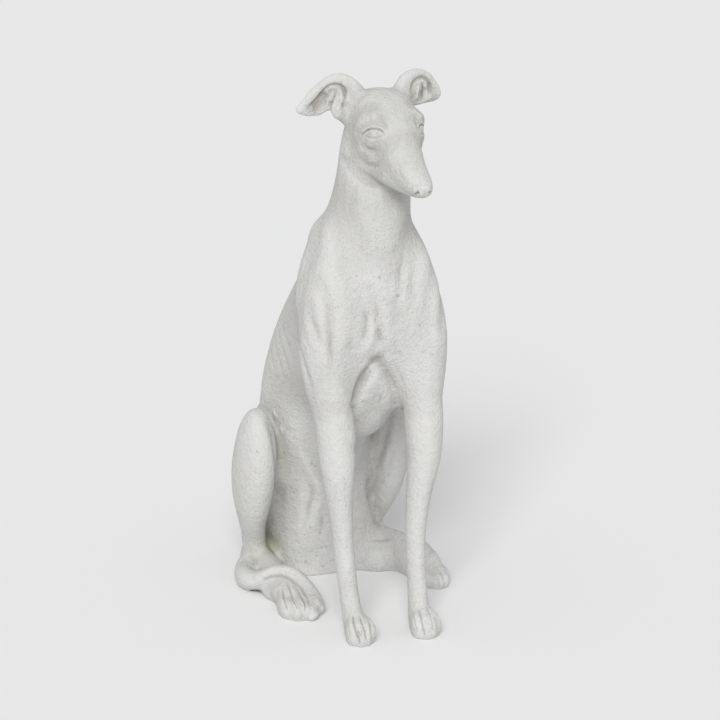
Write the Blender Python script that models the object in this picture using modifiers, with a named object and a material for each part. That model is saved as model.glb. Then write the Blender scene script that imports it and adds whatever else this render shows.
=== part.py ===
"""A sitting sight hound, cast in one piece and standing on its own feet and seat.

The figure faces -Y, +X is its left side and +Z is up. The origin is on the floor under
the middle of its bounding box. Places and sizes of the modelling are in figure units, and
one figure unit is a 739th of the height, because a figure keeps its proportions when it
is cast larger or smaller.
"""
import math

import bmesh
import bpy
import numpy as np
from mathutils import Euler, Matrix, Vector

FIGURE_HEIGHT = 0.739       # floor to the top of the folded ears, metres
UNITS_HIGH = 739.0          # figure units in that height
UNIT = FIGURE_HEIGHT / UNITS_HIGH

CAST_COLOUR = (0.63, 0.615, 0.585, 1.0)
CAST_ROUGHNESS = 0.9

# The middle of the body stands this far to the figure's left of the point midway between
# the forepaws. The shoulders lean a little further over, and the head further still.
MIDLINE = 4.0
SHOULDER_MIDLINE = 8.0
HEAD_MIDLINE = 25.0

# The forepaws stand this far out from the line between them; the left one (+1) is a step
# further forward than the right one (-1).
PAW_MIDLINE = 6.6
PAW_OUT = 45.0
PAW_REACH = {-1: -2, 1: -9}

# Sizes of the voxels that fuse the masses, and of the finished surface.
BODY_VOXEL = 6.0
LIMB_VOXEL = 3.6
FACE_VOXEL = 2.6
TRIANGLES = 9400
RING_SIDES = 24
RING_STEP = 7.0

GROUND_DEPTH = 60.0         # how deep the block under the floor is
SEAT_SINK = 6.0             # how far the modelled masses reach under the floor


def spot(x, y, z):
    """A place given in figure units, as a vector in metres."""
    return Vector((x, y, z)) * UNIT


def spline(rows, step):
    """Points of a smooth curve through the rows, about one step apart."""
    rows = np.array(rows, dtype=float)
    ends = np.vstack([2 * rows[0] - rows[1], rows, 2 * rows[-1] - rows[-2]])
    out = []
    for i in range(1, len(ends) - 2):
        before, start, stop, after = ends[i - 1], ends[i], ends[i + 1], ends[i + 2]
        length = np.linalg.norm((stop - start)[:3])
        count = max(1, int(round(length / step)))
        for k in range(count):
            t = k / count
            out.append(0.5 * (2 * start + (stop - before) * t
                              + (2 * before - 5 * start + 4 * stop - after) * t * t
                              + (3 * start - before - 3 * stop + after) * t ** 3))
    out.append(ends[-2])
    return np.array(out)


def add_object(name, mesh):
    """Put a mesh in the working collection as an object."""
    piece = bpy.data.objects.new(name, mesh)
    workshop.objects.link(piece)
    return piece


def loft(name, stations, side=(1, 0, 0), squareness=2.0, facing=None):
    """Skin rings through stations of x, y, z, half width and half depth.

    The half width is measured along the side direction, and the half depth across it.
    The rings stand square to the path, or to the facing direction if there is one.
    """
    rows = spline(stations, RING_STEP)
    side = Vector(side)
    power = 2.0 / squareness
    mesh = bmesh.new()
    rings = []
    for i, row in enumerate(rows):
        ahead = rows[min(i + 1, len(rows) - 1)][:3] - rows[max(i - 1, 0)][:3]
        axis = Vector(facing or ahead).normalized()
        across = (side - axis * side.dot(axis)).normalized()
        through = axis.cross(across)
        centre = spot(*row[:3])
        ring = []
        for k in range(RING_SIDES):
            angle = math.tau * k / RING_SIDES
            u = math.copysign(abs(math.cos(angle)) ** power, math.cos(angle))
            v = math.copysign(abs(math.sin(angle)) ** power, math.sin(angle))
            offset = across * (u * row[3]) + through * (v * row[4])
            ring.append(mesh.verts.new(centre + offset * UNIT))
        rings.append(ring)
    for lower, upper in zip(rings, rings[1:]):
        for k in range(RING_SIDES):
            j = (k + 1) % RING_SIDES
            mesh.faces.new((lower[k], lower[j], upper[j], upper[k]))
    mesh.faces.new(list(reversed(rings[0])))
    mesh.faces.new(rings[-1])
    data = bpy.data.meshes.new(name)
    mesh.to_mesh(data)
    mesh.free()
    return add_object(name, data)


def ball(name, centre, radii, turn=(0, 0, 0)):
    """An egg with three radii, turned by degrees about X, Y and Z."""
    mesh = bmesh.new()
    bmesh.ops.create_uvsphere(mesh, u_segments=24, v_segments=16, radius=1.0)
    shape = Matrix.LocRotScale(spot(*centre),
                               Euler([math.radians(a) for a in turn]),
                               Vector(radii) * UNIT)
    bmesh.ops.transform(mesh, matrix=shape, verts=mesh.verts)
    data = bpy.data.meshes.new(name)
    mesh.to_mesh(data)
    mesh.free()
    return add_object(name, data)


def fuse(name, pieces, voxel):
    """Join closed pieces into one skin of even small squares."""
    mesh = bmesh.new()
    for piece in pieces:
        mesh.from_mesh(piece.data)
        bpy.data.objects.remove(piece)
    data = bpy.data.meshes.new(name)
    mesh.to_mesh(data)
    mesh.free()
    piece = add_object(name, data)
    skin = piece.modifiers.new("skin", "REMESH")
    skin.mode = "VOXEL"
    skin.voxel_size = voxel * UNIT
    skin.adaptivity = 0.0
    return evaluated(piece)


def evaluated(piece):
    """Replace a piece's mesh by the one that its modifiers give."""
    bpy.context.view_layer.update()
    graph = bpy.context.evaluated_depsgraph_get()
    data = bpy.data.meshes.new_from_object(piece.evaluated_get(graph))
    piece.modifiers.clear()
    piece.data = data
    return piece


def read_points(piece):
    """The piece's points in figure units."""
    flat = np.empty(len(piece.data.vertices) * 3, dtype=np.float32)
    piece.data.vertices.foreach_get("co", flat)
    return flat.reshape(-1, 3).astype(float) / UNIT


def write_points(piece, points):
    """Move the piece's points, given in figure units."""
    piece.data.vertices.foreach_set("co", (points * UNIT).astype(np.float32).ravel())
    piece.data.update()


def read_normals(piece):
    """The outward direction at each point."""
    flat = np.empty(len(piece.data.vertices) * 3, dtype=np.float32)
    piece.data.vertex_normals.foreach_get("vector", flat)
    return flat.reshape(-1, 3).astype(float)


def settle(piece, passes, hollow, crest):
    """Draw each point to the middle of its neighbours, as clay is smoothed.

    The share is one for hollows, which fill, and another for crests, which wear.
    """
    edges = np.empty(len(piece.data.edges) * 2, dtype=np.int32)
    piece.data.edges.foreach_get("vertices", edges)
    one, other = edges.reshape(-1, 2).T
    points = read_points(piece)
    near = np.bincount(one, minlength=len(points)) + np.bincount(other, minlength=len(points))
    for turn in range(passes):
        if turn % 4 == 0:
            write_points(piece, points)
            normals = read_normals(piece)
        middle = np.empty_like(points)
        for k in range(3):
            total = np.bincount(one, points[other, k], len(points))
            total += np.bincount(other, points[one, k], len(points))
            middle[:, k] = total / near
        pull = middle - points
        lift = np.einsum("ij,ij->i", pull, normals)
        share = np.where(lift > 0, hollow, crest)
        points += pull * 0.5 + normals * (lift * (share - 0.5))[:, None]
    write_points(piece, points)


def carve(piece, lines):
    """Sink a groove along each line, or raise a ridge where the depth is negative.

    A line has its width, its depth and the places that it passes, near the surface.
    """
    points = read_points(piece)
    normals = read_normals(piece)
    for width, depth, places in lines:
        places = np.array(places, dtype=float)
        for row in places:
            row[:] = points[np.argmin(((points - row) ** 2).sum(axis=1))]
        path = spline(places, 1.5)
        reach = 2.2 * width
        low, high = path.min(axis=0) - reach, path.max(axis=0) + reach
        near = np.flatnonzero(((points > low) & (points < high)).all(axis=1))
        gaps = np.linalg.norm(points[near, None, :] - path[None, :, :], axis=2)
        nearest = gaps.argmin(axis=1)
        along = nearest / max(1, len(path) - 1)
        ends = np.sqrt(np.clip(np.minimum(along, 1 - along) * 4 + 0.05, 0, 1))
        facing = normals[near] / np.linalg.norm(normals[near], axis=1)[:, None]
        inward = np.argmin(((points[near, None, :] - path[None, ::8, :]) ** 2).sum(axis=2), axis=0)
        front = facing[inward].mean(axis=0)
        agree = np.clip(facing @ front * 2.5, 0, 1)
        fall = np.exp(-(gaps.min(axis=1) / width) ** 2)
        points[near] -= facing * (depth * fall * ends * agree)[:, None]
    write_points(piece, points)


def mirrored(lines, middle):
    """The lines of the right side, and their mirror images about a middle."""
    out = list(lines)
    for width, depth, places in lines:
        out.append((width, depth, [(2 * middle - x, y, z) for x, y, z in places]))
    return out


def both(make):
    """Make a paired form on the right side (-1) and on the left side (+1)."""
    return [piece for hand in (-1, 1) for piece in make(hand)]


def trunk():
    """Ribcage, loin and rump as one loft from the breastbone back to the seat."""
    profile = [
        # y, underside, top, half width
        (-161, 404, 470, 18),
        (-155, 376, 500, 31),
        (-140, 336, 526, 46),
        (-120, 278, 543, 56),
        (-98, 249, 550, 62),
        (-78, 245, 551, 65),
        (-45, 249, 538, 68),
        (0, 254, 492, 74),
        (45, 236, 428, 82),
        (85, 150, 368, 85),
        (120, 40, 306, 80),
        (150, -SEAT_SINK, 246, 74),
        (176, -SEAT_SINK, 184, 64),
        (194, -SEAT_SINK, 124, 50),
        (204, 8, 80, 28),
    ]
    stations = [(MIDLINE, y, (low + high) / 2, half, (high - low) / 2)
                for y, low, high, half in profile]
    return [loft("trunk", stations, squareness=2.2, facing=(0, 1, 0))]


def neck():
    """The long neck, rising from between the shoulders into the back of the skull."""
    return [loft("neck", [
        (6, -72, 460, 58, 74),
        (8, -80, 500, 57, 74),
        (12, -90, 540, 54, 67),
        (15, -96, 572, 51, 59),
        (18, -98, 605, 48.5, 52),
        (21, -95, 640, 46, 47),
        (25, -90, 672, 41, 41),
    ])]


def shoulder(hand):
    """Shoulder blade, upper arm and elbow."""
    def side(x, lean=SHOULDER_MIDLINE):
        return lean + hand * x
    return [
        ball("blade", (side(57), -88, 460), (34, 46, 86), (-10, hand * -12, 0)),
        ball("withers", (side(45), -62, 512), (23, 29, 38), (-20, hand * -14, 0)),
        loft("upper_arm", [
            (side(48), -92, 548, 8, 10),
            (side(52), -106, 526, 15, 20),
            (side(56), -116, 500, 21, 27),
            (side(59.5, 7.5), -122, 470, 28, 32),
            (side(64, 7), -125, 434, 32, 36),
            (side(68), -124, 396, 33, 40),
            (side(68, 9), -124, 358, 32, 39),
            (side(64.5, 9.5), -130, 322, 29, 35),
            (side(62.5, 9.5), -139, 292, 25, 29),
            (side(62, 9), -147, 262, 19, 21),
        ]),
        ball("elbow", (side(65, 9), -104, 304), (17, 18, 22)),
        ball("breast", (side(30), -128, 432), (30, 28, 60), (6, hand * -10, 0)),
    ]


def foreleg(hand):
    """Forearm, wrist and pastern down to the paw."""
    reach = PAW_REACH[hand]

    def side(x, lean=0.0):
        return x * hand + lean
    return [loft("foreleg", [
        (side(63.5, 9.5), -138, 300, 26, 31),
        (side(62, 9), -147, 268, 25.5, 28),
        (side(60.8, 7.3), -154, 232, 22.5, 25),
        (side(56, 4), -158, 185, 17, 20),
        (side(52, 2.5), -161, 140, 14, 17.5),
        (side(50, 3), -164, 102, 13.5, 17),
        (side(48.5, 4), -168 + reach * 0.3, 68, 13, 15.5),
        (side(46.5, 4.5), -175 + reach * 0.6, 36, 13.5, 17),
        (side(44.5, 5.5), -181 + reach, 14, 16, 20),
    ])]


def haunch(hand):
    """Folded thigh and shin, from the knee down to the hock, and the buttock behind."""
    def side(x):
        return MIDLINE + hand * x
    return [
        ball("thigh", (side(60), 118, 150), (40, 70, 92), (14, 0, hand * -14)),
        ball("buttock", (side(48), 148, 78), (42, 54, 84), (10, 0, 0)),
    ]


def shin(hand):
    """The knee and shin, standing out from the thigh as one long oval."""
    right = [4, 4, 4, 5, 8, 11, 12, 11, 9]
    rows = []
    forward = [0, 0, 0, 0, 0, 3, 6, 8, 8]
    for turned, ahead, row in zip(right, forward, [
            (97, 42, 254, 9, 13),
            (98, 46, 242, 17, 25),
            (98, 51, 220, 24, 38),
            (97, 58, 188, 28, 46),
            (95, 67, 153, 28, 48),
            (92, 79, 118, 24.5, 43),
            (88, 92, 86, 19, 34),
            (84, 102, 56, 16, 27),
            (83, 104, 10, 16, 25)]):
        out = row[0] + (turned if hand < 0 else 0)
        back = row[1] - (ahead if hand < 0 else 0)
        rows.append((MIDLINE + hand * out, back) + row[2:])
    return [loft("shin", rows)]


def groin():
    """The solid mass between the hind legs, down to the floor."""
    web = ball("web", (84, 62, 14), (36, 40, 30))
    return [web, loft("groin", [
        (MIDLINE + 12, 118, -SEAT_SINK, 74, 74),
        (MIDLINE + 11, 118, 60, 74, 75),
        (MIDLINE + 8, 114, 120, 72, 76),
        (MIDLINE + 4, 106, 180, 72, 78),
        (MIDLINE, 88, 235, 70, 74),
        (MIDLINE, 70, 280, 66, 66),
    ], squareness=3.2)]


def head():
    """Skull, cheeks and the wedge of the muzzle, deep behind and narrow at the nose."""
    mid = HEAD_MIDLINE
    return [
        loft("skull", [
            (mid + 1, -58, 688, 22, 20),
            (mid + 1, -74, 685, 37, 33),
            (mid + 2, -98, 677, 45, 43),
            (mid + 3, -122, 664, 45, 43),
            (mid + 4, -142, 652, 39, 39),
            (mid + 5, -160, 641, 29, 33),
            (mid + 6, -184, 628, 23, 25),
            (mid + 8, -208, 618, 18.5, 18),
            (mid + 9.5, -225, 611, 14.5, 13.5),
            (mid + 10.5, -236, 607, 9, 9),
        ], squareness=2.3),
        loft("lower_jaw", [
            (mid + 2, -90, 642, 34, 16),
            (mid + 2, -110, 633, 42, 17),
            (mid + 3, -138, 624, 36, 16),
            (mid + 4, -168, 616, 26, 14.5),
            (mid + 7, -200, 609, 17, 12),
            (mid + 9, -222, 605, 11, 8),
        ], squareness=2.5),
        ball("nose", (mid + 10, -231, 612), (11, 9, 8)),
    ]


def face(hand):
    """Brow, cheekbone and jaw of one side."""
    def side(x):
        return HEAD_MIDLINE + 4 + hand * x
    return [
        ball("brow", (side(31), -128, 681), (18, 24, 13), (-32, hand * 24, hand * -14)),
        ball("cheek", (side(31), -120, 650), (15, 30, 20), (-22, 0, hand * 10)),
    ]


def ear(hand):
    """A rose ear: it rises, folds over and lies back and out with a thin tip."""
    if hand < 0:
        rows = [
            (2, -95, 694, 16, 14),
            (-10, -90, 705, 23, 12),
            (-26, -84, 714, 26, 9),
            (-44, -81, 709, 20, 7.5),
            (-58, -79, 699, 18, 6),
            (-74, -79, 694, 10, 5),
            (-83, -80, 693, 4, 3),
        ]
    else:
        rows = [
            (54, -98, 696, 15, 14),
            (65, -93, 709, 24, 12),
            (78, -90, 715, 26, 9),
            (91, -88, 712, 23, 8),
            (104, -88, 706, 15, 6),
            (114, -89, 701, 6, 4),
        ]
    out = [loft("ear", rows, side=(0, 0, 1))]
    if hand < 0:
        # The rolled base of this ear hangs in a lobe below the fold.
        out.append(ball("lobe", (-29, -95, 691), (10, 9, 12)))
        out.append(ball("lobe_root", (-17, -92, 683), (11, 10, 12)))
    return out


def eye(hand):
    """The eyeball, which its lids overlap."""
    return [ball("eyeball", (HEAD_MIDLINE + 3 + hand * 29.5, -149, 668), (9.5, 10, 7))]


def forepaw(hand):
    """Four knuckled toes under the pastern."""
    reach = PAW_REACH[hand]
    middle = PAW_MIDLINE + hand * PAW_OUT
    out = []
    for across, along, wide in ((-11.5, 7, 7.5), (-4, 0, 7.5), (4, 0, 7.5), (11.5, 7, 7.5)):
        out.append(ball("toe", (middle + across, -199 + along + reach, 13),
                        (wide, 20, 20), (0, 0, across * 0.8)))
    out.append(ball("pad", (middle, -187 + reach, 13), (17.5, 25, 24)))
    return out


def foot_line(hand):
    """Heel and middle toes of a hind foot on the floor."""
    heel = Vector((MIDLINE + hand * 83, 114, 0))
    toes = Vector((132, -46, 0)) if hand > 0 else Vector((-88, -85, 0))
    return heel, toes


def hind_foot(hand):
    """The foot flat on the floor, from the heel under the hock forward to the toes."""
    heel, toes = foot_line(hand)

    # The right foot is lower at the instep, where the tail lies over it.
    instep = (36, 36, 33, 26) if hand < 0 else (43, 51, 52, 47)

    def at(share, half_width, top):
        centre = heel.lerp(toes, share)
        return (centre.x, centre.y, top / 2 - 3, half_width, top / 2 + 3)
    return [loft("sole", [
        at(-0.06, 12, 44),
        at(0.08, 17, instep[0] + 4),
        at(0.35, 19, instep[1] + 2),
        at(0.60, 20, instep[2] + 4),
        at(0.80, 21, instep[3] + 8),
        at(0.95, 20, 25),
    ])]


def hind_toes(hand):
    """Four long toes, side by side; the right foot's fifth lies against the tail."""
    heel, toes = foot_line(hand)
    along = (toes - heel).normalized()
    across = Vector((-along.y, along.x, 0))
    turn = math.degrees(math.atan2(along.x, -along.y))
    out = []
    for off, back, wide in ((-15, 11, 8.5), (-5, 0, 8.5), (5, 0, 8.5), (15, 11, 8.5)):
        place = toes + across * off - along * back
        out.append(ball("toe", (place.x, place.y, 10), (wide, 24, 15), (0, 0, turn)))
    if hand < 0:
        out.append(ball("inner_toe", (-73, -97, 9), (9, 15, 12)))
        out.append(ball("outer_edge", (-99, -6, 10), (12, 28, 12)))
    return out


def tail():
    """The tail, round the right hip on the floor, over the ankle and beside the foot."""
    return [loft("tail", [
        (14, 192, 32, 20, 20),
        (-20, 196, 20, 17, 18),
        (-54, 182, 13, 14, 15),
        (-78, 150, 12, 13, 13),
        (-94, 112, 11, 14, 12),
        (-108, 82, 12, 16, 14),
        (-117, 56, 13, 16, 14.5),
        (-119, 31, 15, 15, 15),
        (-110, 10, 21, 13, 14),
        (-97, -3, 32, 11, 12.5),
        (-85, -11, 37, 10.5, 12),
        (-73, -24, 36, 10.5, 12),
        (-63, -45, 26, 10.5, 12),
        (-58, -68, 15, 10.5, 12),
        (-60, -86, 11, 11, 12),
        (-63, -97, 10, 9, 10),
    ], side=(0, 0, 1))]


def body_lines():
    """Folds between the muscles of the chest, shoulders and hind legs."""
    right = [
        (8, 8, [(14, -157, 377), (-8, -148, 352), (-26, -136, 325), (-36, -126, 298),
                (-42, -110, 275)]),
        (5, 3, [(-16, -158, 455), (-19, -159, 436), (-21, -158, 416), (-17, -156, 392)]),
        (7, 5, [(-77, -133, 488), (-70, -153, 466), (-64, -158, 447), (-60, -160, 408),
                  (-58, -156, 366)]),
        (5, 3.5, [(-89, -132, 457), (-87, -148, 431), (-78, -156, 402)]),
        (9, 7, [(-96, -60, 440), (-100, -72, 400), (-100, -76, 355), (-92, -80, 318)]),
        (7, 6, [(-86, 29, 244), (-76, 26, 205), (-66, 34, 165), (-64, 60, 115), (-66, 84, 66)]),
        (7, -3, [(-40, 34, 205), (-26, 36, 165), (-10, 40, 125), (-20, 45, 75)]),
    ]
    middle = [
        (5, 3, [(-9, -158, 476), (-5, -160, 455), (-2, -161, 432), (5, -161, 407),
                (15, -157, 382)]),
    ]
    return mirrored(right, MIDLINE) + middle


def face_lines():
    """Eye sockets, furrows, jaw, mouth and nostrils."""
    right = [
        (6, 3, [(9, -160, 677), (-2, -152, 682), (-13, -134, 677)]),
        (4.5, 3.5, [(-14, -134, 656), (-8, -146, 650), (0, -158, 650), (8, -168, 655)]),
        (5, 3.5, [(-20, -112, 642), (-14, -128, 634), (-5, -146, 628), (6, -164, 630)]),
        (2.6, 2, [(36, -237, 600), (26, -226, 602), (18, -200, 604), (10, -176, 609),
                  (2, -156, 616)]),
        (2.4, 2.5, [(27, -233, 611), (26, -231, 609)]),
        (5, 5, [(-20, -96, 634), (-17, -116, 622), (-6, -134, 610), (10, -142, 602)]),
    ]
    return mirrored(right, HEAD_MIDLINE + 10)


def ear_lines():
    """The hollow of each ear, with the fold that stands in it."""
    return [
        (5, 5.5, [(-70, -86, 690), (-60, -88, 699), (-48, -90, 708), (-34, -92, 716),
                  (-20, -96, 718), (-10, -100, 708)]),
        (5, 6, [(-56, -88, 690), (-46, -90, 697), (-36, -94, 702)]),
        (4, 6, [(-26, -98, 704), (-24, -98, 694)]),
        (3.4, -5, [(-48, -88, 688), (-42, -92, 700), (-32, -96, 709), (-22, -99, 706),
                   (-16, -101, 694)]),
        (6, 7, [(82, -98, 694), (88, -98, 706), (97, -97, 712), (104, -94, 705)]),
        (3.4, -5, [(84, -98, 690), (89, -99, 704), (97, -98, 704), (97, -97, 692)]),
    ]


def toe_lines():
    """Clefts between the toes."""
    out = []
    for hand, reach in PAW_REACH.items():
        middle = PAW_MIDLINE + hand * PAW_OUT
        for across in (-8.5, 0, 8.5):
            x = middle + across
            back = abs(across) * 0.5
            out.append((2.4, 2.2, [(x, -222 + back + reach, 8), (x, -214 + back + reach, 25),
                                   (x * 0.8 + middle * 0.2, -194 + back + reach, 34)]))
        heel, toes = foot_line(hand)
        along = (toes - heel).normalized()
        side = Vector((-along.y, along.x, 0))
        for across in (-10, 0, 10):
            line = []
            for ahead, height in ((24, 6), (14, 20), (-12, 25)):
                place = toes + side * across + along * (ahead - abs(across) * 0.5)
                line.append((place.x, place.y, height))
            out.append((2.4, 2.6, line))
    return out


def ground_cut(piece):
    """Cut everything off flat at the floor."""
    mesh = bmesh.new()
    bmesh.ops.create_cube(mesh, size=1.0)
    shape = Matrix.LocRotScale(spot(0, 0, -GROUND_DEPTH / 2), None,
                               Vector((900, 900, GROUND_DEPTH)) * UNIT)
    bmesh.ops.transform(mesh, matrix=shape, verts=mesh.verts)
    data = bpy.data.meshes.new("floor_block")
    mesh.to_mesh(data)
    mesh.free()
    block = bpy.data.objects.new("floor_block", data)
    cutters.objects.link(block)
    block.hide_render = True
    block.display_type = "WIRE"
    cut = piece.modifiers.new("floor", "BOOLEAN")
    cut.operation = "DIFFERENCE"
    cut.solver = "EXACT"
    cut.object = block
    return evaluated(piece)


def thin_out(piece):
    """Leave large triangles where the form is plain and small ones where it is rich."""
    faces = 2 * len(piece.data.polygons)
    thin = piece.modifiers.new("thin", "DECIMATE")
    thin.decimate_type = "COLLAPSE"
    thin.ratio = TRIANGLES / faces
    thin.use_collapse_triangulate = True
    return evaluated(piece)


def stand(piece):
    """Put the floor at zero and the middle of the bounding box over the origin."""
    points = read_points(piece)
    middle = (points.min(axis=0) + points.max(axis=0)) / 2
    middle[2] = 0.0
    write_points(piece, points - middle)
    return middle


def cast_material():
    material = bpy.data.materials.new("white_cast")
    material.use_nodes = True
    shader = material.node_tree.nodes["Principled BSDF"]
    shader.inputs["Base Color"].default_value = CAST_COLOUR
    shader.inputs["Roughness"].default_value = CAST_ROUGHNESS
    shader.inputs["Metallic"].default_value = 0.0
    return material


for old in list(bpy.data.objects):
    bpy.data.objects.remove(old)
figure = bpy.data.collections.new("dog_sculpture")
workshop = bpy.data.collections.new("workshop")
cutters = bpy.data.collections.new("cutters")
for group in (figure, workshop, cutters):
    bpy.context.scene.collection.children.link(group)

body = fuse("body", trunk() + neck() + both(shoulder) + both(haunch) + groin(), BODY_VOXEL)
settle(body, 60, 0.9, 0.02)
limbs = fuse("limbs", [body] + head() + both(foreleg) + both(shin) + both(hind_foot),
             LIMB_VOXEL)
settle(limbs, 14, 0.8, 0.02)
dog = fuse("dog", [limbs] + tail() + both(face) + both(ear) + both(eye)
           + both(forepaw) + both(hind_toes), FACE_VOXEL)
settle(dog, 6, 0.6, 0.12)
carve(dog, body_lines() + face_lines() + ear_lines() + toe_lines())
settle(dog, 2, 0.3, 0.2)
thin_out(dog)
ground_cut(dog)
middle = stand(dog)

dog.name = "dog_sculpture"
dog.data.name = "dog_sculpture"
dog.data.materials.clear()
dog.data.materials.append(cast_material())
dog.data.shade_smooth()
workshop.objects.unlink(dog)
figure.objects.link(dog)
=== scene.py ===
"""A sitting hound, cast in one piece, with the surface of the real casting.

Metres, +Z up. The dog looks along -Y, and +X is its left side.
"""
import math

import bpy
import numpy as np
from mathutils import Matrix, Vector
from mathutils.bvhtree import BVHTree


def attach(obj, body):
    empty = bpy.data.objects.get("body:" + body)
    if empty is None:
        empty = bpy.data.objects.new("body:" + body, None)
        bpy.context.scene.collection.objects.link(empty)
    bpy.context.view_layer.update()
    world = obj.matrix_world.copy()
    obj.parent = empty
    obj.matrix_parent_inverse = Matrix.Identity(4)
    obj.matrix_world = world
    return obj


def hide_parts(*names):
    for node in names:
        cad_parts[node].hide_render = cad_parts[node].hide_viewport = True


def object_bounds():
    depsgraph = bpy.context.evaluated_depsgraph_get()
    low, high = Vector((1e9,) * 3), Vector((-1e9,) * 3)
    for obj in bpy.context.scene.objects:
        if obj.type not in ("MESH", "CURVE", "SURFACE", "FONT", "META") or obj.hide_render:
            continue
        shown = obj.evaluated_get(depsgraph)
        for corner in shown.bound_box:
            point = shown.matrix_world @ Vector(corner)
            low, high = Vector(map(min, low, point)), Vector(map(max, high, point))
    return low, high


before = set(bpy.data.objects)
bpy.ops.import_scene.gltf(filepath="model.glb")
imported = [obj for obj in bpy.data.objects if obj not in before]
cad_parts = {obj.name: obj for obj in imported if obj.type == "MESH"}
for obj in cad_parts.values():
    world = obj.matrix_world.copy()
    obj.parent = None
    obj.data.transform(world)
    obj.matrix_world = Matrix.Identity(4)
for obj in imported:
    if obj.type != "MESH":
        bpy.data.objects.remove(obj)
solid_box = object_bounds()

# The camera stands three metres off, to the dog's right and a little above its head. The
# carving below is laid out as it is seen from here, on a square picture 720 wide.
CAMERA_PLACE = Vector((-1.0359, -2.8071, 1.2000))
CAMERA_AIM = Vector((0.0260, 0.0120, 0.3269))
CAMERA_LENS = 114.3
CAMERA_FILM = 36.0
PICTURE_WIDE = 720

view_line = (CAMERA_AIM - CAMERA_PLACE).normalized()
bpy.ops.object.camera_add(location=CAMERA_PLACE,
                          rotation=view_line.to_track_quat("-Z", "Y").to_euler())
camera = bpy.context.object
camera.name = "studio_camera"
camera.data.sensor_width = CAMERA_FILM
camera.data.lens = CAMERA_LENS
bpy.context.scene.camera = camera

# The dog's body is one hollow casting of mineral-filled resin with walls of about 9 mm. Its
# skin is drawn smoothly over the solid, with no facets left, and the underside stays flat.
MILLIMETRE = 0.001
SKIN_STEP = 0.0015          # size of the squares that the skin is carved in
FLOOR_BAND = 0.0012         # what starts lower than this stays flat on the floor
SAME_POINT = 0.00001        # corners of the solid nearer than this are one
FIT_ROUNDS = 2              # how often the rounded skin is drawn back to the solid,
FIT_SHARE = 0.8             # and the share of the way that it goes each time
FIRST_RUB = 14              # passes that take the last facets off

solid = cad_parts["dog_sculpture"]
casting = bpy.data.objects.new("dog_casting", solid.data.copy())
bpy.context.scene.collection.objects.link(casting)
bpy.ops.object.select_all(action="DESELECT")
casting.select_set(True)
bpy.context.view_layer.objects.active = casting
bpy.ops.object.mode_set(mode="EDIT")
bpy.ops.mesh.select_all(action="SELECT")
bpy.ops.mesh.remove_doubles(threshold=SAME_POINT)
bpy.ops.object.mode_set(mode="OBJECT")


def read_skin(mesh, source="vertices", name="co"):
    """Points or normals of the skin as rows of three numbers."""
    rows = np.empty(len(mesh.vertices) * 3, np.float32)
    getattr(mesh, source).foreach_get(name, rows)
    return rows.reshape(-1, 3).astype(float)


def write_skin(mesh, points):
    """Put the skin's points at these rows of three numbers."""
    mesh.vertices.foreach_set("co", points.astype(np.float32).ravel())
    mesh.update()


def finish_modifier(piece, kind, **settings):
    """Add a modifier with these settings and apply it."""
    bpy.context.view_layer.objects.active = piece
    work = piece.modifiers.new("work", kind)
    for name, value in settings.items():
        setattr(work, name, value)
    bpy.ops.object.modifier_apply(modifier=work.name)


def settle(mesh, passes, share=0.5):
    """Rub the skin down: each point moves towards the middle of its neighbours."""
    ends = np.empty(len(mesh.edges) * 2, np.int32)
    mesh.edges.foreach_get("vertices", ends)
    one, other = ends.reshape(-1, 2).T
    points = read_skin(mesh)
    flat = points[:, 2] < FLOOR_BAND
    count = np.bincount(one, minlength=len(points)) + np.bincount(other, minlength=len(points))
    for _ in range(passes):
        for k in range(3):
            total = np.bincount(one, points[other, k], len(points))
            total += np.bincount(other, points[one, k], len(points))
            points[:, k] += (total / count - points[:, k]) * share
        points[flat, 2] = 0.0
    write_skin(mesh, points)


corners = read_skin(casting.data)
cage = corners.copy()
for _ in range(FIT_ROUNDS):
    write_skin(casting.data, cage)
    round_off = casting.modifiers.new("round_off", "SUBSURF")
    round_off.levels = round_off.render_levels = 1
    rounded = casting.evaluated_get(bpy.context.evaluated_depsgraph_get()).to_mesh()
    cage += FIT_SHARE * (corners - read_skin(rounded)[:len(corners)])
    casting.evaluated_get(bpy.context.evaluated_depsgraph_get()).to_mesh_clear()
    casting.modifiers.remove(round_off)
write_skin(casting.data, cage)
finish_modifier(casting, "SUBSURF", levels=2, render_levels=2)
finish_modifier(casting, "REMESH", mode="VOXEL", voxel_size=SKIN_STEP, adaptivity=0.0)
settle(casting.data, FIRST_RUB)

# The clay is laid on finer where the tools were small: at the eyes, nose, ears and toes.
FINE_SPOTS = [
    # x, y, z and reach of each, in millimetres
    (-23, -134, 668, 30), (68, -134, 668, 26), (24, -222, 606, 20),
    (-42, -76, 704, 40), (88, -80, 706, 38),
    (-48, -194, 20, 34), (42, -200, 20, 34), (-88, -70, 20, 44), (120, -36, 20, 36),
]
middles = np.empty(len(casting.data.polygons) * 3, np.float32)
casting.data.polygons.foreach_get("center", middles)
middles = middles.reshape(-1, 3)
fine = np.zeros(len(middles), bool)
for x, y, z, reach in FINE_SPOTS:
    spot = np.array((x, y, z)) * MILLIMETRE
    fine |= np.linalg.norm(middles - spot, axis=1) < reach * MILLIMETRE
bpy.ops.object.mode_set(mode="EDIT")
bpy.ops.mesh.select_mode(type="FACE")
bpy.ops.mesh.select_all(action="DESELECT")
bpy.ops.object.mode_set(mode="OBJECT")
casting.data.polygons.foreach_set("select", fine)
bpy.ops.object.mode_set(mode="EDIT")
bpy.ops.mesh.subdivide(number_cuts=1)
bpy.ops.object.mode_set(mode="OBJECT")
settle(casting.data, 2)

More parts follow.
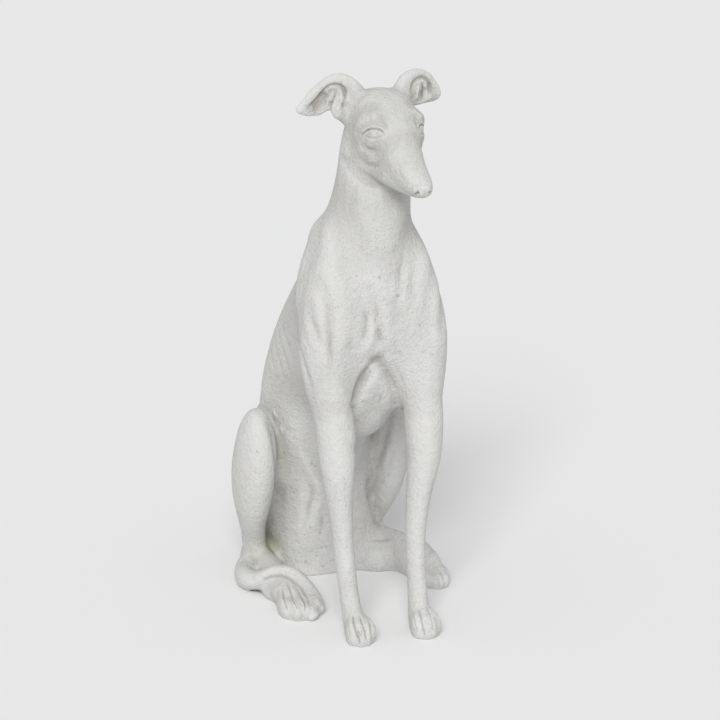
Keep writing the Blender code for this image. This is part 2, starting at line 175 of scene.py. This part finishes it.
# The carving was cut in the clay of the pattern, and the casting carries it rounded. A cut
# is a width and a depth in millimetres and the places that it runs through, each a pair as
# seen from the camera. A negative depth is a ridge.
skin_tree = BVHTree.FromObject(casting, bpy.context.evaluated_depsgraph_get())
skin_points = read_skin(casting.data)
skin_normals = read_skin(casting.data, "vertex_normals", "vector")
skin_depth = np.zeros(len(skin_points))
SEARCH_RINGS = 36           # a point just off the edge finds the edge, ring by ring
SEARCH_TURNS = 12
SEARCH_STEP = 0.4
LINE_STEP = 0.0008          # distance between the points of a cut
CUT_REACH = 2.6             # a cut has run out at this many times its width


def seen(across, down):
    """The place on the skin that shows at this point of the picture, or next to it."""
    right = view_line.cross(Vector((0, 0, 1))).normalized()
    up = right.cross(view_line)
    focal = CAMERA_LENS / CAMERA_FILM * PICTURE_WIDE
    for ring in range(SEARCH_RINGS):
        for turn in range(1 if ring == 0 else SEARCH_TURNS):
            angle = math.tau * turn / SEARCH_TURNS
            x = across + SEARCH_STEP * ring * math.cos(angle)
            y = down + SEARCH_STEP * ring * math.sin(angle)
            ray = (view_line + right * ((x - PICTURE_WIDE / 2) / focal)
                   - up * ((y - PICTURE_WIDE / 2) / focal))
            place = skin_tree.ray_cast(CAMERA_PLACE, ray.normalized())[0]
            if place:
                return place
    raise ValueError(f"nothing shows at {across}, {down}")


def on_skin(place):
    """The nearest place on the skin."""
    return skin_tree.find_nearest(Vector(place))[0]


def smooth_line(places, step):
    """Points of a smooth curve through the places, about one step apart."""
    rows = np.array([list(place) for place in places])
    if len(rows) == 1:
        return rows
    ends = np.vstack([2 * rows[0] - rows[1], rows, 2 * rows[-1] - rows[-2]])
    out = []
    for before, start, stop, after in zip(ends, ends[1:], ends[2:], ends[3:]):
        count = max(1, int(np.linalg.norm(stop - start) / step))
        for t in np.arange(count) / count:
            out.append(0.5 * (2 * start + (stop - before) * t
                              + (2 * before - 5 * start + 4 * stop - after) * t * t
                              + (3 * start - before - 3 * stop + after) * t ** 3))
    out.append(rows[-1])
    return np.array(out)


def cut(places, width, depth, taper=2.2):
    """Sink one line into the skin. It fades from the middle to its ends, or nearer to the
    ends where the taper is a larger number.
    """
    rough_line = smooth_line(places, 5 * LINE_STEP)
    line = smooth_line([on_skin(place) for place in rough_line], LINE_STEP)
    wide = width * MILLIMETRE
    low = line.min(axis=0) - CUT_REACH * wide
    high = line.max(axis=0) + CUT_REACH * wide
    near = np.flatnonzero(((skin_points > low) & (skin_points < high)).all(axis=1))
    if not len(near):
        return
    away = skin_points[near, None, :] - line[None, :, :]
    gaps = np.sqrt(np.einsum("ijk,ijk->ij", away, away))
    closest = gaps.argmin(axis=1)
    under = gaps.argmin(axis=0)
    facing = np.einsum("ij,ij->i", skin_normals[near], skin_normals[near][under[closest]])
    fade = 1.0
    if len(line) > 1:
        along = closest / (len(line) - 1)
        fade = np.clip(np.minimum(along, 1 - along) * taper, 0, 1)
        fade = fade * fade * (3 - 2 * fade)
    fall = np.exp(-(gaps.min(axis=1) / wide) ** 2) * np.clip(facing * 2, 0, 1)
    skin_depth[near] += depth * MILLIMETRE * fall * fade


def carve(cuts, mirror=None, taper=2.2):
    """Sink the cuts, and their mirror images where the far side has them too."""
    for width, depth, places in cuts:
        line = [seen(*place) for place in places]
        cut(line, width, depth, taper)
        if mirror:
            cut([mirror(place) for place in line], width, depth, taper)


def rub(places, reach, passes):
    """Smooth the clay down by hand, within a reach in millimetres of these places."""
    global skin_points
    weight = np.zeros(len(skin_points))
    for place in places:
        gaps = np.linalg.norm(skin_points - np.array(place), axis=1) / (reach * MILLIMETRE)
        weight = np.maximum(weight, np.clip(2 * (1 - gaps), 0, 1))
    weight[skin_points[:, 2] < FLOOR_BAND] = 0.0
    ends = np.empty(len(casting.data.edges) * 2, np.int32)
    casting.data.edges.foreach_get("vertices", ends)
    ends = ends.reshape(-1, 2)
    ends = ends[(weight[ends] > 0).any(axis=1)]
    used, slots = np.unique(ends, return_inverse=True)
    one, other = slots.reshape(-1, 2).T
    rows = skin_points[used]
    share = 0.5 * weight[used]
    count = np.bincount(one, minlength=len(used)) + np.bincount(other, minlength=len(used))
    for _ in range(passes):
        for k in range(3):
            total = np.bincount(one, rows[other, k], len(used))
            total += np.bincount(other, rows[one, k], len(used))
            rows[:, k] += (total / count - rows[:, k]) * share
    skin_points[used] = rows
    press()


def press():
    """Move the skin by what has been sunk so far, and start again from there."""
    global skin_points, skin_normals, skin_tree
    skin_points = skin_points - skin_normals * skin_depth[:, None]
    skin_points[:, 2] = np.maximum(skin_points[:, 2], 0.0)
    write_skin(casting.data, skin_points)
    skin_depth[:] = 0.0
    skin_normals = read_skin(casting.data, "vertex_normals", "vector")
    skin_tree = BVHTree.FromObject(casting, bpy.context.evaluated_depsgraph_get())


# The head is carved with flat planes: a long narrow muzzle, hollow cheeks with two furrows,
# and small almond eyes under a soft brow. It is carried a little to the dog's left.
HEAD_MIDDLE = Vector((0.0176, -0.0780, 0.0))
HEAD_SIDE = Vector((1.0, 0.063, 0.0)).normalized()


def other_cheek(place):
    """The mirror image of a place on the head."""
    return place - 2 * (place - HEAD_MIDDLE).dot(HEAD_SIDE) * HEAD_SIDE


eye_place = seen(373, 134)
temple = seen(362, 124)
cheek = seen(367, 154)
rub([eye_place, other_cheek(eye_place), temple, other_cheek(temple), cheek,
     other_cheek(cheek)], 40, 260)
carve([
    (5.5, -1.2, [(368.5, 133.6), (373.5, 132.6), (379, 133.4)]),
    (8, -1.2, [(364, 141), (371, 143), (378, 142.6)]),
    (8, -1.3, [(363, 153), (370, 157), (378, 157.6)]),
    (9, 0.9, [(392, 128), (396, 142), (400, 158)]),
    (7, -1.2, [(357, 124), (355.6, 134), (356.6, 144)]),
    (9, 1.1, [(363, 116), (369, 117), (375, 118)]),
], other_cheek)
press()
carve([
    (3.2, 2.1, [(360, 142), (364, 146.6), (369, 149.6), (374, 150.2), (380, 149)]),
    (3.6, 1.9, [(357, 155), (362, 160.6), (368, 164.2), (375, 165.4), (383, 164.4)]),
    (2.6, 1.2, [(378, 115.4), (382, 120), (385, 126), (386.4, 132)]),
    (4.0, 1.4, [(351, 161), (359, 171), (368, 177), (375, 181.5), (383, 187), (391, 192.5)]),
], other_cheek)
press()
carve([
    (1.0, 2.6, [(359.6, 137), (363, 133.6), (367.6, 130), (373, 128.6), (378, 129),
                (382, 131.2), (385.6, 136.4)]),
    (1.5, -0.7, [(365, 130), (369.6, 127), (375, 125.8), (380.6, 127.4), (385, 131.4)]),
    (0.95, 1.0, [(363, 135.4), (367.4, 137), (373, 137.8), (379, 137), (384, 134.6)]),
    (1.5, -0.5, [(367, 139.4), (373.5, 140.6), (380, 139.8)]),
    (2.4, 0.5, [(409, 184), (404, 178), (398, 171)]),
    (1.5, 0.6, [(421, 198.4), (414, 196.5), (406, 191.5), (398, 186), (391, 181)]),
], other_cheek, taper=4)
carve([
    (1.6, 3.4, [(414.6, 195.2), (416.6, 193.6), (419.4, 192)]),
    (1.4, 3.0, [(429.2, 193.6), (430.4, 191.4)]),
    (2.4, -0.6, [(413, 192), (415.5, 189), (420, 187.8)]),
    (1.2, 0.8, [(424.2, 189.5), (424.4, 194), (424, 198.6)]),
    (2.4, 0.5, [(409, 190), (413, 186.4), (421, 184.6), (430, 186)]),
], taper=5)

# The ears are thin folded leaves. Each has a rolled rim, a deep hollow under it, and the
# fold of the inner leaf standing in the hollow.
rub([seen(328, 101), seen(338, 104)], 20, 50)
rub([seen(422, 92)], 18, 50)
carve([
    (5.0, -0.9, [(301, 106), (310, 96.5), (320, 86), (330, 79.5), (341, 78), (349, 82)]),
    (2.4, 3.4, [(303, 110.4), (310, 106.4), (317, 99.6), (322.6, 92.6), (327.8, 87.4),
                (334.9, 84.8), (341, 86.4), (344.6, 91), (345, 98), (343, 104)]),
    (4.2, 4.2, [(312, 109), (318, 103.6), (323, 96.6), (328, 91)]),
    (2.4, -2.8, [(326, 110), (328, 102), (331, 95.6), (334.6, 90)]),
    (2.6, -2.4, [(337, 89.6), (341, 94), (341.6, 101), (339, 108), (336, 113)]),
    (1.0, 2.8, [(335.6, 92.6), (333.6, 98.6), (331.6, 104), (330.2, 109.5)]),
], taper=4)
carve([
    (3.6, -0.8, [(407, 84), (411, 75.5), (419, 71.5), (427, 74), (434, 81)]),
    (2.4, 3.2, [(411.4, 98), (411.6, 90), (414, 82.6), (418, 78.6), (422.5, 77.2), (427.4, 80),
                (429.6, 87), (431.6, 95)]),
    (2.2, -2.6, [(416, 101), (416.8, 92), (419.4, 84)]),
    (2.2, -2.2, [(424.4, 83), (426.2, 91), (425.6, 99)]),
    (1.0, 2.8, [(421.6, 83), (422.2, 91), (421.2, 100)]),
], taper=4)
press()

# The neck runs down into a deep narrow chest. Folds of loose skin divide the shoulders from
# the breast, and two creases meet in a point above the keel between the forelegs.
BODY_MIDDLE = -0.0058


def other_flank(place):
    """The mirror image of a place on the body."""
    return Vector((2 * BODY_MIDDLE - place.x, place.y, place.z))


rub([seen(322, 305), seen(322, 335), seen(325, 362)], 46, 110)
rub([seen(366, 305), seen(372, 335), seen(402, 290), seen(406, 325)], 40, 110)
rub([seen(424, 348), seen(436, 318), seen(428, 280)], 34, 90)
rub([seen(328, 417), seen(344, 419), seen(414, 407), seen(432, 405)], 24, 90)
carve([
    (6.4, 2.8, [(316.5, 273), (322, 287), (327.4, 303), (329.6, 319), (330.4, 336), (331, 352),
                (333, 369), (334.4, 386)]),
    (6.0, 1.0, [(330, 310), (331, 336), (332, 360), (334, 384)]),
    (9.0, -1.3, [(313, 286), (317, 300), (321, 318), (325, 336), (328, 352)]),
    (5.4, 1.7, [(308, 306), (312, 318), (316, 330), (320, 342), (325, 355)]),
    (6.0, 2.2, [(304.5, 308), (301, 324), (299.5, 344), (303, 362), (308, 378), (312.4, 394),
                (314.4, 412)]),
    (5.8, 2.9, [(363.5, 303), (365.6, 312), (366.4, 322), (364.6, 334), (361.6, 345)]),
    (6.0, -1.7, [(371, 312), (373.6, 324), (372.4, 337), (366, 350), (358.6, 363)]),
    (7.0, 0.9, [(354, 330), (351, 344), (346, 358)]),
])
carve([
    (7.0, 1.7, [(368.4, 278), (372.4, 294), (376.6, 311), (379.6, 327), (384, 343),
                (388.4, 357)]),
    (8.0, 1.5, [(376, 322), (379, 336), (383, 348)]),
    (9.0, 2.6, [(385, 355), (374, 366), (363, 380), (355, 396), (350, 412), (349, 430)]),
    (5.0, 1.8, [(388, 353), (381, 364), (371, 376), (362, 390), (356, 406), (352, 424)]),
    (8.0, 2.2, [(352, 398), (351, 420), (352, 446), (355, 474)]),
    (5.0, 1.8, [(388, 353), (395, 366), (400.6, 378), (403.6, 390), (404, 404)]),
    (6.0, 1.9, [(404, 240), (402.8, 256), (400.4, 274), (400, 290), (396.6, 304), (393.6, 320)]),
    (6.4, 1.7, [(413, 248), (413.6, 266), (411.4, 284), (412, 300), (413, 314)]),
    (8.0, -0.9, [(408, 254), (407, 272), (405, 292), (403.4, 310)]),
    (9.0, 0.9, [(392, 336), (395, 350), (397, 364)]),
    (1.3, 1.0, [(382, 391), (380, 400), (378, 409)]),
    (10.0, 1.2, [(327, 214), (333, 226), (343, 238), (356, 246)]),
])
press()

# The flanks and the loin are plain, with a few ribs, and combed downwards with a toothed
# tool. Small folds of skin stand where the knee meets the belly.
RIBS = 7
ribs = []
for i in range(RIBS):
    start = 268 + 5.2 * i
    top = 330 - 5 * i
    ribs.append((3.4, 0.42, [(start, top), (start + 4, top + 26), (start + 11, top + 50),
                             (start + 16, top + 72)]))
carve(ribs, other_flank)
carve([
    (3.2, -1.8, [(272.5, 409), (275, 414), (277.5, 419)]),
    (2.8, -1.5, [(279.5, 424), (281.5, 430), (282.5, 436)]),
    (2.8, -0.9, [(286, 423), (291, 426), (297, 428)]),
    (3.4, 1.0, [(270, 413), (275, 424), (278, 436)]),
], other_flank)

# The hind legs are folded: a long oval shin, a deep crease behind it, and the filled space
# between the legs, where long soft folds run down to the floor.
carve([
    (9.0, 2.6, [(275, 428), (281, 448), (283.4, 472), (283.4, 500), (279.6, 526), (272, 548)]),
    (8.0, 1.3, [(293, 470), (291, 500), (291, 530)]),
    (6.0, -1.0, [(301, 470), (302, 500), (301, 530), (301, 556)]),
    (6.0, 0.9, [(309, 486), (309, 512), (308, 540)]),
    (5.0, -0.8, [(316, 472), (318, 494), (316, 516)]),
    (6.0, 0.8, [(322, 500), (321, 525), (320, 550)]),
])
carve([
    (7.0, 1.6, [(398, 424), (396, 444), (389, 466), (379, 486), (369, 504)]),
    (6.0, -0.9, [(386, 450), (378, 470), (368, 488), (360, 504)]),
    (5.0, 1.2, [(364, 470), (358, 490), (354, 510), (352, 536)]),
    (4.0, 1.0, [(360, 543), (372, 541), (386, 540), (398, 541)]),
])
press()

# Each forepaw has four short toes with deep clefts between them and small blunt nails.
carve([
    (1.2, 2.6, [(352.6, 615), (354, 624), (356, 632), (358.2, 640)]),
    (1.1, 2.0, [(359.6, 615), (362.4, 624), (365, 632), (366.4, 641)]),
    (1.0, 1.4, [(347, 622), (348.4, 630), (350.6, 639)]),
    (1.0, 1.7, [(369.6, 622), (371.4, 630), (372.2, 637)]),
    (1.3, 2.2, [(356.6, 631), (358.6, 633.4), (360, 636)]),
    (1.2, 2.0, [(362.4, 630), (361.4, 632.8), (361.6, 635)]),
    (3.2, -0.9, [(349.6, 616), (351, 626)]),
    (3.2, -0.9, [(356.6, 616), (359, 627)]),
    (3.2, -0.9, [(366, 618), (368, 630)]),
    (1.1, 2.0, [(418.4, 609), (420.8, 617), (422.6, 626), (423.6, 633)]),
    (1.1, 2.0, [(427, 606), (430, 614), (432.4, 624), (432.8, 632)]),
    (1.0, 1.6, [(434.8, 606), (437.8, 613), (439, 621)]),
    (1.0, 1.5, [(412, 613), (414, 622), (416.4, 631)]),
    (0.9, 1.2, [(424.6, 620), (426.4, 622), (428, 624.4)]),
    (3.2, -0.9, [(415.5, 611), (417.6, 621)]),
    (3.2, -0.9, [(423, 608), (426, 619)]),
    (3.2, -0.9, [(431.4, 608), (434.4, 618)]),
], taper=9)
carve([
    (1.5, 2.8, [(356.4, 633), (358, 638), (359, 642), (359.4, 645.6)]),
    (1.3, 2.0, [(423, 628), (423.8, 633), (424, 637)]),
], taper=3)

# The hind feet lie flat. The right one has long toes under the tail, which comes round the
# hip, crosses the ankle as a rounded band and runs along the foot to the floor.
rub([seen(247, 563), seen(254, 566)], 20, 90)
rub([seen(285, 580), seen(272, 582), seen(300, 592), seen(311, 612)], 20, 60)
carve([
    (1.2, 2.0, [(281.6, 586), (283.4, 596), (286, 606), (289, 614)]),
    (1.2, 2.3, [(286, 580.6), (290, 590), (294.6, 602), (297.6, 612)]),
    (1.2, 2.3, [(291, 579.6), (297.6, 588), (303, 599), (305.4, 608), (304.6, 616.6)]),
    (3.0, -1.0, [(278.6, 590), (281, 600), (284.4, 610)]),
    (3.0, -1.0, [(284.6, 588), (288.6, 600), (292.6, 611)]),
    (3.0, -1.0, [(291, 586), (296.6, 596), (300.6, 608)]),
], taper=4)
carve([
    (2.2, 2.6, [(258, 587), (263, 581), (270, 577), (279, 575.6), (288, 577.6), (296, 582.6),
                (303, 590), (307.6, 598), (309.4, 606), (309.6, 613)]),
    (6.0, -1.6, [(252, 578), (262, 573), (273, 569), (284, 568.6), (295, 572.6), (305, 580),
                 (314, 591)]),
    (5.0, -1.4, [(312, 594), (316, 603), (317, 612)]),
    (5.0, -3.4, [(306, 618.6), (311, 618), (315.4, 615.6), (319, 612)]),
    (12.0, -3.2, [(430, 551), (438, 562), (443.6, 573)]),
    (1.6, 0.9, [(431.5, 579), (432.5, 586), (433, 590)]),
    (1.6, 0.9, [(436.6, 577), (438, 584), (438.6, 589)]),
    (1.6, 0.8, [(441.6, 573), (443.6, 580), (444, 586)]),
], taper=4)
press()

# Air bubbles left pits in the cast skin. Most are pin holes, which the finish gives. The
# larger ones are sunk here, thickest on the breast and on the filled part between the legs.
BUBBLES = 260
BUBBLE_SEED = 11
SMALLEST_BUBBLE = 0.8
BUBBLE_SPREAD = 0.9
SUNKEN_BUBBLES = [
    # across and down as seen, and size in millimetres
    (380, 277.5, 1.7), (396, 246, 1.6), (394, 251, 1.8), (376.5, 248, 1.2), (361.5, 246.5, 1.4),
    (398, 296, 2.0), (388.5, 305, 1.4), (384, 300, 1.2), (388, 318, 1.4), (420, 325.5, 1.6),
    (391, 301, 1.2), (363, 402, 1.8), (370, 372, 1.5), (368.5, 313, 1.2), (382, 325, 1.3),
    (385, 281, 1.2), (379, 291, 1.1), (404, 283, 1.4), (346, 367, 1.3), (339, 366, 1.3),
    (312, 464, 1.9), (315.5, 466.5, 1.7), (291, 488, 1.7), (293, 493, 1.7), (320, 533, 1.7),
    (322, 548, 1.9), (326, 547.5, 1.9), (306, 562, 1.9), (310, 527, 1.4), (297, 542, 1.5),
    (272, 523, 1.4), (258, 541, 1.8), (299, 553, 1.3), (323, 566, 1.5), (289, 540, 1.2),
    (317, 556, 1.4), (308, 571, 1.3), (385, 403, 1.3), (392, 392, 1.1), (357, 421, 1.4),
]
rng = np.random.default_rng(BUBBLE_SEED)
for i in rng.choice(len(skin_points), BUBBLES, replace=False):
    size = SMALLEST_BUBBLE + BUBBLE_SPREAD * rng.random() ** 3
    cut([Vector(skin_points[i])], size, size * 0.5)
for across, down, size in SUNKEN_BUBBLES:
    cut([seen(across, down)], size * 0.85, size * 0.8)
press()
settle(casting.data, 1, 0.35)

# The casting is thinned, most of all where it is plain. It stands on the floor on its flat
# underside, and no carving stands out past the solid's own reach.
CASTING_TRIANGLES = 188000
SOLE_BAND = 0.0004          # what is left lower than this is flat on the floor

skin_faces = sum(len(face.vertices) - 2 for face in casting.data.polygons)
finish_modifier(casting, "DECIMATE", ratio=CASTING_TRIANGLES / skin_faces,
                use_collapse_triangulate=True)
skin_points = read_skin(casting.data)
skin_points[skin_points[:, 2] < SOLE_BAND, 2] = 0.0
low, high = (np.array(corner) for corner in solid_box)
write_skin(casting.data, np.clip(skin_points, low, high))
casting.data.shade_smooth()

# The hollows are painted darker, partly for dirt and partly as painted shade, and the crests
# painted paler as painted light. A greenish tinge lies in the creases by the right hock and
# knee, and a rusty one on the rim of the tail.
HOLLOW_DEPTH = 0.0006       # a hollow this deep is marked in full
HOLLOW_PASSES = 10

hollow_from = read_skin(casting.data)
outward = read_skin(casting.data, "vertex_normals", "vector")
rubbed = casting.data.copy()
settle(rubbed, HOLLOW_PASSES, 0.6)
hollow = np.einsum("ij,ij->i", read_skin(rubbed) - hollow_from, outward) / HOLLOW_DEPTH
bpy.data.meshes.remove(rubbed)
skin_points, skin_normals = hollow_from, outward
skin_tree = BVHTree.FromObject(casting, bpy.context.evaluated_depsgraph_get())


def patch(places, reach):
    """One at the places, falling to nothing at the reach in millimetres."""
    line = smooth_line([seen(*place) for place in places], 0.002)
    amount = np.zeros(len(hollow_from))
    for point in line:
        gaps = np.linalg.norm(hollow_from - point, axis=1) / (reach * MILLIMETRE)
        amount = np.maximum(amount, np.exp(-gaps ** 2))
    return amount


def mark(name, amount):
    """Keep an amount for each point of the casting, for its finish to read."""
    store = casting.data.attributes.new(name, "FLOAT", "POINT")
    store.data.foreach_set("value", np.clip(amount, -1, 1).astype(np.float32))


# How deep each point lies in a hollow, for painted shade in the hollows and painted light on the
# crests.
mark("hollow", hollow)
mark("green_damp", np.maximum(patch([(269, 549), (272, 540)], 15),
                              0.5 * patch([(278, 436), (278, 456)], 8)))
mark("rust_rim", patch([(320, 600), (321.6, 605)], 2.6))
# Darker on the head, where the casting is soiled, and painted shade under the jaw, down the
# neck, between the forelegs and in the groove behind the right shin; also darker on the right
# shoulder.
mark("soil_and_shade", np.maximum.reduce([
    patch([(380, 110), (365, 150)], 60), 0.8 * patch([(400, 215), (372, 205), (345, 190)], 45),
    0.7 * patch([(290, 290), (280, 350)], 60), 0.4 * patch([(375, 425)], 40),
    1.0 * patch([(283, 450), (286, 490), (280, 525)], 20)]))
# Painted shade in the ear hollows, the nostrils, a forepaw's middle cleft, along the jaw line
# and on the neck below the jaw.
mark("painted_shade", np.maximum.reduce([
    1.3 * patch([(313, 108.5), (318, 103.6), (323, 96.6), (328, 91)], 6.5),
    1.1 * patch([(334.9, 84.8), (341, 86.4), (344.6, 91), (345, 98)], 2.6),
    1.3 * patch([(335.6, 92.6), (333.6, 98.6), (331, 106)], 2.2),
    1.2 * patch([(411.6, 97), (411.8, 90), (414, 82.6), (422, 78), (428, 81), (430, 90)], 3.4),
    1.2 * patch([(421.6, 83), (422.2, 91), (421.2, 100)], 2.2),
    0.6 * patch([(432, 92), (436, 98), (430, 102)], 7),
    1.6 * patch([(415.4, 194.4), (417, 193.4), (419.2, 192.4)], 1.5),
    1.4 * patch([(429.4, 193.2), (430.4, 191.8)], 1.3),
    0.5 * patch([(357.6, 633), (360, 635.6), (359, 643)], 2.2),
    0.6 * patch([(372, 178), (382, 186), (391, 193.5), (400, 199)], 12),
    0.35 * patch([(398, 208), (401, 224), (404, 240)], 16)]))
# Painted light between the hind legs and under the chest, where the body shades them.
mark("painted_light", np.maximum(patch([(312, 490), (310, 520)], 22),
                            patch([(365, 475), (372, 445), (378, 420)], 42)))
mark("combed", patch([(285, 300), (278, 340), (282, 380), (294, 400)], 42))

CAST_LIGHT = (0.615, 0.613, 0.602, 1.0)
CAST_DARK = (0.565, 0.562, 0.545, 1.0)
# Darker tone for soil on the head and for painted shade under the jaw and between the legs.
CAST_SOIL_AND_SHADE = (0.475, 0.471, 0.447, 1.0)
CAST_WARM = (0.575, 0.557, 0.503, 1.0)
# Grey for painted shade in creases and hollows, and for dirt and flecks.
SHADE_AND_DIRT_GREY = (0.345, 0.335, 0.295, 1.0)
# Pale for painted light on the crests and between the hind legs.
PAINTED_LIGHT_PALE = (0.680, 0.678, 0.660, 1.0)
PIT_SHADE = (0.300, 0.290, 0.260, 1.0)
DAMP_GREEN = (0.330, 0.340, 0.225, 1.0)
RUST_BROWN = (0.360, 0.270, 0.160, 1.0)


class Amount:
    """A number that varies over the surface, for writing a finish as sums."""

    def __init__(self, finish, socket):
        self.finish = finish
        self.socket = socket

    def sum(self, operation, first, second):
        return self.finish.node("ShaderNodeMath", {"operation": operation},
                                {0: first, 1: second})

    def __add__(self, other):
        return self.sum("ADD", self, other)

    def __sub__(self, other):
        return self.sum("SUBTRACT", self, other)

    def __rsub__(self, other):
        return self.sum("SUBTRACT", other, self)

    def __mul__(self, other):
        return self.sum("MULTIPLY", self, other)

    __radd__ = __add__
    __rmul__ = __mul__

    def between(self, low, high):
        """Nothing at the low number, one at the high one, and smooth in between."""
        return self.finish.node("ShaderNodeMapRange", {"interpolation_type": "SMOOTHSTEP"},
                                {"Value": self, "From Min": low, "From Max": high})


class Finish:
    """A material, made node by node."""

    def __init__(self, name):
        self.material = bpy.data.materials.new(name)
        self.material.use_nodes = True
        self.shader = self.material.node_tree.nodes["Principled BSDF"]
        self.place = self.node("ShaderNodeTexCoord", {}, {}, "Object")

    def node(self, kind, settings, sockets, output=0):
        made = self.material.node_tree.nodes.new(kind)
        for name, value in settings.items():
            setattr(made, name, value)
        for name, value in sockets.items():
            self.feed(made.inputs[name], value)
        return Amount(self, made.outputs[output])

    def feed(self, socket, value):
        if isinstance(value, Amount):
            self.material.node_tree.links.new(value.socket, socket)
        else:
            socket.default_value = value

    def kept(self, name):
        return self.node("ShaderNodeAttribute", {"attribute_name": name}, {}, "Fac")

    def cloud(self, scale, detail=2.0, place=None):
        return self.node("ShaderNodeTexNoise", {},
                         {"Vector": place or self.place, "Scale": scale, "Detail": detail})

    def holes(self, scale, share, radius):
        """Round pits in this share of the cells, one at the middle of each pit."""
        cells = self.node("ShaderNodeTexVoronoi", {}, {"Vector": self.place, "Scale": scale})
        pick = self.node("ShaderNodeTexVoronoi", {}, {"Vector": self.place, "Scale": scale},
                         "Color")
        drawn = self.node("ShaderNodeSeparateColor", {}, {"Color": pick})
        return cells.between(radius, radius * 0.45) * drawn.between(1 - share, 1.01 - share)

    def tint(self, amount, under, over):
        return self.node("ShaderNodeMix", {"data_type": "RGBA"},
                         {0: amount, 6: under, 7: over}, 2)


cast = Finish("cast_stone_white")
hollows = cast.kept("hollow")
broad = cast.cloud(9.0, 3.0)
patchy = cast.cloud(42.0, 4.0)
speckle = cast.cloud(520.0, 2.0)
lumps = cast.cloud(95.0, 4.0)
grain = cast.cloud(620.0, 3.0)
ripple = cast.cloud(230.0, 3.0)
stretched = cast.node("ShaderNodeMapping", {}, {"Vector": cast.place, "Scale": (1, 1, 0.06)})
strokes = cast.cloud(330.0, 2.0, stretched) * cast.kept("combed")
crust = cast.cloud(60.0, 2.0).between(0.52, 0.72)
large_pits = cast.holes(85.0, 0.06, 0.12)
pin_holes = cast.holes(240.0, 0.10, 0.24)

tone = cast.tint(broad.between(0.35, 0.68), CAST_DARK, CAST_LIGHT)
tone = cast.tint(patchy.between(0.50, 0.75) * 0.5, tone, CAST_WARM)
# Painted light between the hind legs and under the chest.
tone = cast.tint(cast.kept("painted_light") * 0.45, tone, PAINTED_LIGHT_PALE)
# Soil on the head, and painted shade under the jaw, on the neck and in the leg grooves.
tone = cast.tint(cast.kept("soil_and_shade") * (0.7 + patchy * 0.4), tone, CAST_SOIL_AND_SHADE)
# Painted shade in the ears, nostrils and paw cleft, and under the jaw.
tone = cast.tint(cast.kept("painted_shade") * (0.45 + patchy * 0.5), tone, SHADE_AND_DIRT_GREY)
tone = cast.tint(speckle.between(0.48, 0.70) * 0.30, tone, SHADE_AND_DIRT_GREY)
# Painted light on the crests, and painted shade with some dirt in the hollows.
tone = cast.tint(hollows.between(-0.05, -0.70) * 0.40, tone, PAINTED_LIGHT_PALE)
tone = cast.tint(hollows.between(0.10, 1.00) * 0.60, tone, SHADE_AND_DIRT_GREY)
tone = cast.tint(cast.kept("green_damp") * (0.25 + patchy * 0.7), tone, DAMP_GREEN)
tone = cast.tint(cast.kept("rust_rim") * 0.45, tone, RUST_BROWN)
tone = cast.tint(large_pits * 0.4, tone, PIT_SHADE)
tone = cast.tint(pin_holes * 0.30, tone, PIT_SHADE)
cast.feed(cast.shader.inputs["Base Color"], tone)
cast.feed(cast.shader.inputs["Roughness"], 0.86 + grain * 0.12)
cast.shader.inputs["Specular IOR Level"].default_value = 0.35
relief = (lumps * 1.6 + ripple * 1.7 + grain * 0.9 + crust * speckle * 0.7
          + strokes * 0.5 - large_pits * 0.6 - pin_holes * 0.3)
raised = cast.node("ShaderNodeBump", {}, {"Strength": 1.0, "Distance": MILLIMETRE,
                                          "Height": relief}, "Normal")
cast.feed(cast.shader.inputs["Normal"], raised)

casting.data.materials.clear()
casting.data.materials.append(cast.material)
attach(casting, "root")
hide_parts("dog_sculpture")

# The studio floor is a plain pale sheet. One large soft light stands in front, on the dog's
# right, and the pale room lights the rest.
FLOOR_WIDE = 60.0
FLOOR_COLOUR = (0.830, 0.830, 0.832, 1.0)
ROOM_COLOUR = (1.0, 1.0, 1.0, 1.0)
ROOM_STRENGTH = 0.57
KEY_STRENGTH = 2.15
KEY_SOFTNESS = 0.45
KEY_FROM = Vector((-0.50, -1.00, 0.80))

bpy.ops.mesh.primitive_plane_add(size=FLOOR_WIDE, location=(0, 0, 0))
floor = bpy.context.object
floor.name = "studio_floor"
paper = Finish("pale_paper")
paper.feed(paper.shader.inputs["Base Color"], FLOOR_COLOUR)
paper.shader.inputs["Roughness"].default_value = 1.0
paper.shader.inputs["Specular IOR Level"].default_value = 0.0
floor.data.materials.append(paper.material)

bpy.ops.object.light_add(type="SUN", location=(-2, -2, 3),
                         rotation=KEY_FROM.to_track_quat("Z", "Y").to_euler())
key = bpy.context.object
key.name = "soft_key"
key.data.energy = KEY_STRENGTH
key.data.angle = KEY_SOFTNESS

room = bpy.data.worlds.new("pale_room")
room.use_nodes = True
room.node_tree.nodes["Background"].inputs["Color"].default_value = ROOM_COLOUR
room.node_tree.nodes["Background"].inputs["Strength"].default_value = ROOM_STRENGTH
bpy.context.scene.world = room
bpy.context.scene.view_settings.view_transform = "Standard"
